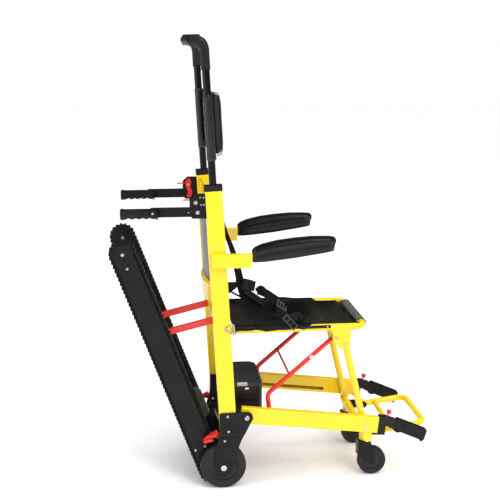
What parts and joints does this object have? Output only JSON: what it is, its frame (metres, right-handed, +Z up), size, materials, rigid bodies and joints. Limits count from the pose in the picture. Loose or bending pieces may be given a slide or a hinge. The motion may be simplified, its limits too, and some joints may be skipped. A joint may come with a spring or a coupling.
{
  "type": "stair chair",
  "caption": "Folding stair evacuation chair with powered rubber tracks behind the back, wheels, casters, telescopic push handle, lifting handles, armrests, footrest and harness.",
  "frame": {"origin": "on the floor, under the middle of the chair's bounding box", "axes": "+X the way the sitter faces, +Y the sitter's left, +Z up"},
  "size_m": [1.1244, 0.526, 1.554],
  "materials": {
    "frame_yellow": "glossy powder coat",
    "black_coat": "satin powder coat",
    "red_coat": "glossy powder coat",
    "red_plastic": "moulded",
    "black_plastic": "moulded, fine grain",
    "battery_plastic": "moulded, satin",
    "lid_plastic": "moulded, satin",
    "grip_rubber": "matt, ribbed",
    "arm_foam": "moulded polyurethane skin",
    "tube_black": "gloss anodised",
    "steel": "zinc plated",
    "hub_grey": "moulded nylon",
    "caster_tyre": "smooth",
    "belt_rubber": "matt",
    "motor_grey": "satin",
    "leatherette": "stitched",
    "sheet_cloth": "coated fabric",
    "sling_cloth": "coated fabric",
    "webbing": "woven",
    "cell_wrap": "shrink wrap"
  },
  "bodies": {
    "base": {"back_posts": "frame_yellow", "post_collars": "black_plastic", "top_cross_bracket": "frame_yellow", "frame_cross_tubes": "frame_yellow", "side_plates": "black_coat", "inner_side_plates": "black_coat", "wheel_axles": "steel", "battery_case": "battery_plastic", "battery_pack": "cell_wrap", "battery_lid": "lid_plastic", "backrest_sheet": "sheet_cloth", "backrest_panel": "frame_yellow", "arm_brackets": "frame_yellow", "frame_bolts": "steel", "handle_brackets": "black_coat", "harness": "webbing"},
    "tracks": {"track_plates_right": "black_coat", "track_plates_left": "black_coat", "track_belt_right": "belt_rubber", "track_belt_left": "belt_rubber", "track_cross_bars": "black_coat", "track_bolts": "steel", "drive_gearbox": "black_coat", "drive_motor": "motor_grey"},
    "idlers": {"idler_pulleys": "hub_grey"},
    "drive": {"drive_shaft": "hub_grey"},
    "links": {"track_links": "red_coat"},
    "handle": {"handle_tubes": "tube_black", "handle_head": "black_plastic"},
    "headrest": {"headrest": "leatherette"},
    "catch": {"battery_catch": "steel"},
    "seat": {"seat_frame": "frame_yellow", "seat_gussets": "frame_yellow", "seat_sling": "sling_cloth"},
    "stays": {"seat_stays": "red_coat"},
    "legs": {"front_legs": "frame_yellow"},
    "beams": {"lower_beams": "frame_yellow", "beam_pins": "steel", "caster_crossbar": "frame_yellow", "handle_necks": "black_plastic", "footrest_hinges": "black_coat"},
    "footrest": {"footrest": "frame_yellow"},
    "rear_wheel_right": {"rear_wheel_right": "hub_grey"},
    "armrest_right": {"armrest_right": "arm_foam"},
    "rear_handle_right": {"rear_handle_right": "grip_rubber"},
    "latch_right": {"latch_lever_right": "red_plastic"},
    "caster_fork_right": {"caster_fork_right": "black_coat"},
    "caster_wheel_right": {"caster_wheel_right": "caster_tyre"},
    "front_grip_right": {"front_grip_right": "grip_rubber"},
    "knob_right": {"release_knob_right": "red_plastic"},
    "pedal_right": {"brake_pedal_right": "red_plastic"},
    "rear_wheel_left": {"rear_wheel_left": "hub_grey"},
    "armrest_left": {"armrest_left": "arm_foam"},
    "rear_handle_left": {"rear_handle_left": "grip_rubber"},
    "latch_left": {"latch_lever_left": "red_plastic"},
    "caster_fork_left": {"caster_fork_left": "black_coat"},
    "caster_wheel_left": {"caster_wheel_left": "caster_tyre"},
    "front_grip_left": {"front_grip_left": "grip_rubber"},
    "knob_left": {"release_knob_left": "red_plastic"},
    "pedal_left": {"brake_pedal_left": "red_plastic"}
  },
  "joints": [
    {"name": "track_fold", "type": "hinge", "parent": "base", "child": "tracks", "pos_m": [-0.216, 0, 0.048], "axis": [0, 1, 0], "range_deg": [0, 15.5]},
    {"name": "drive_turn", "type": "hinge", "parent": "tracks", "child": "drive", "pos_m": [-0.216, 0, 0.048], "axis": [0, 1, 0], "continuous": true},
    {"name": "idler_turn", "type": "hinge", "parent": "tracks", "child": "idlers", "pos_m": [-0.51186, 0, 0.83097], "axis": [0, 1, 0], "continuous": true},
    {"name": "link_fold", "type": "hinge", "parent": "base", "child": "links", "pos_m": [-0.194, 0, 0.584], "axis": [0, -1, 0], "range_deg": [0, 79.01]},
    {"name": "handle_slide", "type": "slide", "parent": "base", "child": "handle", "axis": [-0.055, 0, 0.9985], "range_m": [-0.07, 0]},
    {"name": "headrest_slide", "type": "slide", "parent": "handle", "child": "headrest", "axis": [-0.055, 0, 0.9985], "range_m": [0, 0.055]},
    {"name": "battery_release", "type": "slide", "parent": "base", "child": "catch", "axis": [1, 0, 0], "range_m": [0, 0.004], "stiffness_N_per_m": 200, "springref_m": -0.002},
    {"name": "seat_fold", "type": "hinge", "parent": "base", "child": "seat", "pos_m": [-0.172, 0, 0.56], "axis": [0, -1, 0], "range_deg": [0, 90], "deforming": ["harness"]},
    {"name": "leg_swing", "type": "hinge", "parent": "seat", "child": "legs", "pos_m": [0.252, 0, 0.498], "axis": [0, -1, 0], "range_deg": [-90, 0]},
    {"name": "stay_swing", "type": "hinge", "parent": "seat", "child": "stays", "pos_m": [0.218, 0, 0.519], "axis": [0, -1, 0], "range_deg": [-37.71, 0]},
    {"name": "beam_fold", "type": "hinge", "parent": "base", "child": "beams", "pos_m": [-0.099, 0, 0.26], "axis": [0, -1, 0], "range_deg": [0, 90]},
    {"name": "footrest_fold", "type": "hinge", "parent": "beams", "child": "footrest", "pos_m": [0.392, 0, 0.158], "axis": [0, 1, 0], "range_deg": [-90, 0]},
    {"name": "wheel_turn_right", "type": "hinge", "parent": "base", "child": "rear_wheel_right", "pos_m": [-0.18, -0.205, 0.08], "axis": [0, 1, 0], "continuous": true},
    {"name": "armrest_flip_right", "type": "hinge", "parent": "base", "child": "armrest_right", "pos_m": [-0.1, -0.24, 0.826], "axis": [0, -1, 0], "range_deg": [0, 85]},
    {"name": "handle_fold_right", "type": "hinge", "parent": "base", "child": "rear_handle_right", "pos_m": [-0.262, -0.218, 0.979], "axis": [0, -1, 0], "range_deg": [0, 90]},
    {"name": "latch_turn_right", "type": "hinge", "parent": "base", "child": "latch_right", "pos_m": [-0.268, -0.2035, 1.012], "axis": [0, -1, 0], "range_deg": [0, 12], "stiffness_Nm_per_rad": 0.3, "springref_deg": -17.19},
    {"name": "swivel_right", "type": "hinge", "parent": "beams", "child": "caster_fork_right", "pos_m": [0.331, -0.147, 0.13], "axis": [0, 0, 1], "continuous": true},
    {"name": "caster_turn_right", "type": "hinge", "parent": "caster_fork_right", "child": "caster_wheel_right", "pos_m": [0.361, -0.147, 0.051], "axis": [0, 1, 0], "continuous": true},
    {"name": "grip_slide_right", "type": "slide", "parent": "beams", "child": "front_grip_right", "axis": [0.9184, 0, -0.3955], "range_m": [0, 0.06]},
    {"name": "knob_pull_right", "type": "slide", "parent": "beams", "child": "knob_right", "axis": [0.3955, 0, 0.9184], "range_m": [0, 0.005], "stiffness_N_per_m": 300, "springref_m": -0.003},
    {"name": "pedal_press_right", "type": "hinge", "parent": "base", "child": "pedal_right", "pos_m": [-0.184, -0.205, 0.186], "axis": [0, -1, 0], "range_deg": [0, 12], "stiffness_Nm_per_rad": 1.5, "springref_deg": -11.46},
    {"name": "wheel_turn_left", "type": "hinge", "parent": "base", "child": "rear_wheel_left", "pos_m": [-0.18, 0.205, 0.08], "axis": [0, 1, 0], "continuous": true},
    {"name": "armrest_flip_left", "type": "hinge", "parent": "base", "child": "armrest_left", "pos_m": [-0.1, 0.24, 0.826], "axis": [0, -1, 0], "range_deg": [0, 85]},
    {"name": "handle_fold_left", "type": "hinge", "parent": "base", "child": "rear_handle_left", "pos_m": [-0.262, 0.218, 0.979], "axis": [0, -1, 0], "range_deg": [0, 90]},
    {"name": "latch_turn_left", "type": "hinge", "parent": "base", "child": "latch_left", "pos_m": [-0.268, 0.2035, 1.012], "axis": [0, -1, 0], "range_deg": [0, 12], "stiffness_Nm_per_rad": 0.3, "springref_deg": -17.19},
    {"name": "swivel_left", "type": "hinge", "parent": "beams", "child": "caster_fork_left", "pos_m": [0.331, 0.147, 0.13], "axis": [0, 0, 1], "continuous": true},
    {"name": "caster_turn_left", "type": "hinge", "parent": "caster_fork_left", "child": "caster_wheel_left", "pos_m": [0.361, 0.147, 0.051], "axis": [0, 1, 0], "continuous": true},
    {"name": "grip_slide_left", "type": "slide", "parent": "beams", "child": "front_grip_left", "axis": [0.9184, 0, -0.3955], "range_m": [0, 0.06]},
    {"name": "knob_pull_left", "type": "slide", "parent": "beams", "child": "knob_left", "axis": [0.3955, 0, 0.9184], "range_m": [0, 0.005], "stiffness_N_per_m": 300, "springref_m": -0.003},
    {"name": "pedal_press_left", "type": "hinge", "parent": "base", "child": "pedal_left", "pos_m": [-0.184, 0.205, 0.186], "axis": [0, -1, 0], "range_deg": [0, 12], "stiffness_Nm_per_rad": 1.5, "springref_deg": -11.46}
  ],
  "couplings": [
    {"joint": "beam_fold", "follows": "seat_fold", "ratio": 1},
    {"joint": "leg_swing", "follows": "seat_fold", "ratio": -1},
    {"joint": "stay_swing", "follows": "seat_fold", "ratio": -0.419},
    {"joint": "link_fold", "follows": "track_fold", "ratio": 5.0968},
    {"joint": "idler_turn", "follows": "drive_turn", "ratio": 1}
  ]
}
